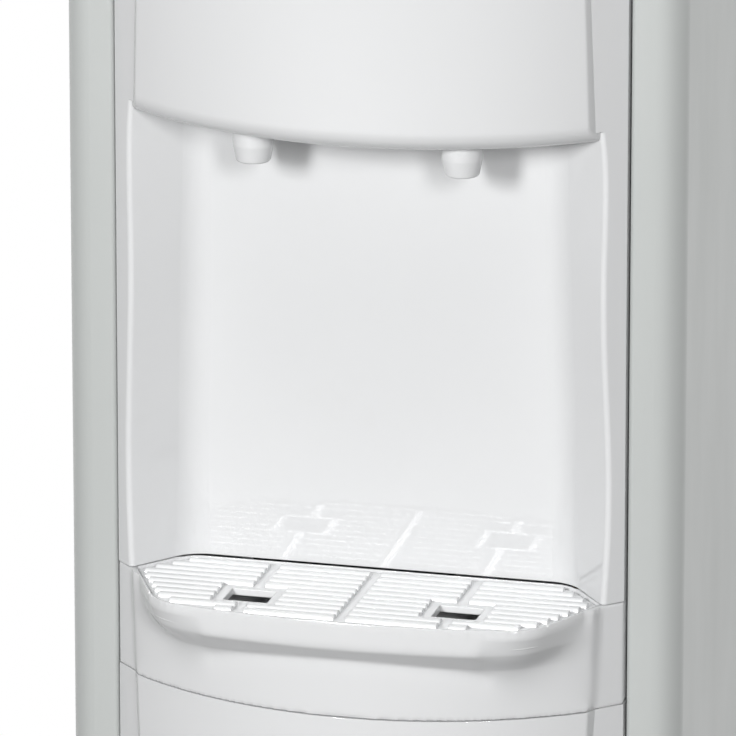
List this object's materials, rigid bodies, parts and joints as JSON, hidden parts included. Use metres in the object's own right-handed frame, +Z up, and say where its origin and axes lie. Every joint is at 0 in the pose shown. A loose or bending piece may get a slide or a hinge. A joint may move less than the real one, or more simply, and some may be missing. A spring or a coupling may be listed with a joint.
{
  "type": "top-loading water cooler",
  "caption": "Floor-standing water cooler with a curved front, hooded dispensing niche, hot and cold spouts, ribbed drip tray and bottle seat on top.",
  "frame": {"origin": "centre of the bounding box at the floor", "axes": "+X to the right seen from the front, +Y to the back, +Z up"},
  "size_m": [0.313, 0.36, 0.966],
  "materials": {
    "panel_paint": "satin off-white coat",
    "front_plastic": "smooth white moulding",
    "plate_plastic": "smooth white moulding",
    "grey_plastic": "grey moulding",
    "dark_plastic": "black moulding",
    "red_plastic": "red moulding",
    "blue_plastic": "blue moulding",
    "lens_plastic": "tinted lens",
    "steel": "bare steel",
    "zinc": "galvanised sheet",
    "black_paint": "black enamel",
    "foam": "rigid foam",
    "wrap_foam": "foam jacket",
    "copper": "copper",
    "aluminium": "plain",
    "silicone": "soft, milky",
    "rubber": "black rubber",
    "nylon": "natural nylon"
  },
  "bodies": {
    "cabinet": {"side_panel_left": "panel_paint", "side_panel_right": "panel_paint", "base_plate": "zinc", "feet": "rubber", "front_fascia": "front_plastic", "shelf_panel": "front_plastic", "lower_front_panel": "front_plastic", "top_cover": "front_plastic", "rear_panel": "zinc", "rear_screws": "steel", "tank_shelf": "zinc", "tank_lid": "nylon", "seat_gasket": "silicone", "cold_tank": "steel", "evaporator_wrap": "copper", "insulation_left": "foam", "insulation_right": "foam", "baffle_plate": "nylon", "hot_tank": "steel", "hot_tank_jacket": "wrap_foam", "hot_tank_bracket": "zinc", "heater_element": "steel", "cold_hose": "silicone", "hot_hose": "silicone", "feed_hose": "silicone", "drain_pipe": "silicone", "compressor": "black_paint", "compressor_grommets": "rubber", "relay_cover": "dark_plastic", "filter_drier": "copper", "condenser_tube": "black_paint", "condenser_wires": "black_paint", "suction_line": "copper", "indicator_lenses": "lens_plastic", "button_guide": "zinc", "lever_pins": "steel", "switch_bezel": "dark_plastic", "cord_gland": "rubber", "cold_faucet_body": "nylon", "cold_spout": "front_plastic", "cold_bonnet": "nylon", "cold_valve_spring": "steel", "hot_faucet_body": "nylon", "hot_spout": "front_plastic", "hot_bonnet": "nylon", "hot_valve_spring": "steel"},
    "cold_button": {"cold_button": "blue_plastic"},
    "hot_button": {"hot_button": "red_plastic"},
    "cold_lever": {"cold_lever": "steel"},
    "hot_lever": {"hot_lever": "steel"},
    "cold_stem": {"cold_stem": "nylon"},
    "hot_stem": {"hot_stem": "nylon"},
    "child_lock": {"child_lock": "front_plastic"},
    "drip_tray": {"drip_tray": "front_plastic"},
    "drip_plate": {"drip_plate": "plate_plastic"},
    "bottle_seat": {"bottle_seat": "front_plastic"},
    "hot_switch": {"hot_switch": "red_plastic"},
    "cold_switch": {"cold_switch": "dark_plastic"},
    "thermostat_knob": {"thermostat_knob": "dark_plastic"},
    "drain_plug": {"drain_plug": "silicone"}
  },
  "joints": [
    {"name": "cold_button_press", "type": "slide", "parent": "cabinet", "child": "cold_button", "axis": [0, 0, -1], "range_m": [0, 0.006], "stiffness_N_per_m": 600, "springref_m": -0.002},
    {"name": "cold_lever_swing", "type": "hinge", "parent": "cabinet", "child": "cold_lever", "pos_m": [0.0525, -0.115, 0.8483], "axis": [1, 0, 0], "range_deg": [0, 10.48]},
    {"name": "cold_stem_slide", "type": "slide", "parent": "cabinet", "child": "cold_stem", "axis": [0, 0, -1], "range_m": [0, 0.004], "deforming": ["cold_valve_spring"]},
    {"name": "hot_button_press", "type": "slide", "parent": "cabinet", "child": "hot_button", "axis": [0, 0, -1], "range_m": [0, 0.006], "stiffness_N_per_m": 600, "springref_m": -0.002},
    {"name": "hot_lever_swing", "type": "hinge", "parent": "cabinet", "child": "hot_lever", "pos_m": [-0.0525, -0.115, 0.8483], "axis": [1, 0, 0], "range_deg": [0, 10.48]},
    {"name": "hot_stem_slide", "type": "slide", "parent": "cabinet", "child": "hot_stem", "axis": [0, 0, -1], "range_m": [0, 0.004], "deforming": ["hot_valve_spring"]},
    {"name": "child_lock_slide", "type": "slide", "parent": "hot_button", "child": "child_lock", "axis": [1, 0, 0], "range_m": [0, 0.004]},
    {"name": "drip_tray_lift", "type": "slide", "parent": "cabinet", "child": "drip_tray", "axis": [0, 0, 1], "range_m": [0, 0.045]},
    {"name": "drip_plate_lift", "type": "slide", "parent": "drip_tray", "child": "drip_plate", "axis": [0, 0, 1], "range_m": [0, 0.02]},
    {"name": "bottle_seat_lift", "type": "slide", "parent": "cabinet", "child": "bottle_seat", "axis": [0, 0, 1], "range_m": [0, 0.06]},
    {"name": "hot_switch_rock", "type": "hinge", "parent": "cabinet", "child": "hot_switch", "pos_m": [0.044, 0.1585, 0.845], "axis": [1, 0, 0], "range_deg": [0, 20]},
    {"name": "cold_switch_rock", "type": "hinge", "parent": "cabinet", "child": "cold_switch", "pos_m": [0.063, 0.1585, 0.845], "axis": [1, 0, 0], "range_deg": [0, 20]},
    {"name": "thermostat_turn", "type": "hinge", "parent": "cabinet", "child": "thermostat_knob", "pos_m": [0.092, 0.1604, 0.845], "axis": [0, 1, 0], "range_deg": [0, 270]},
    {"name": "drain_plug_pull", "type": "slide", "parent": "cabinet", "child": "drain_plug", "axis": [0, 1, 0], "range_m": [0, 0.025]}
  ],
  "couplings": [
    {"joint": "cold_lever_swing", "follows": "cold_button_press", "rad_per_m": 30.47},
    {"joint": "cold_stem_slide", "follows": "cold_button_press", "ratio": 0.6666},
    {"joint": "hot_lever_swing", "follows": "hot_button_press", "rad_per_m": 30.47},
    {"joint": "hot_stem_slide", "follows": "hot_button_press", "ratio": 0.6666}
  ]
}
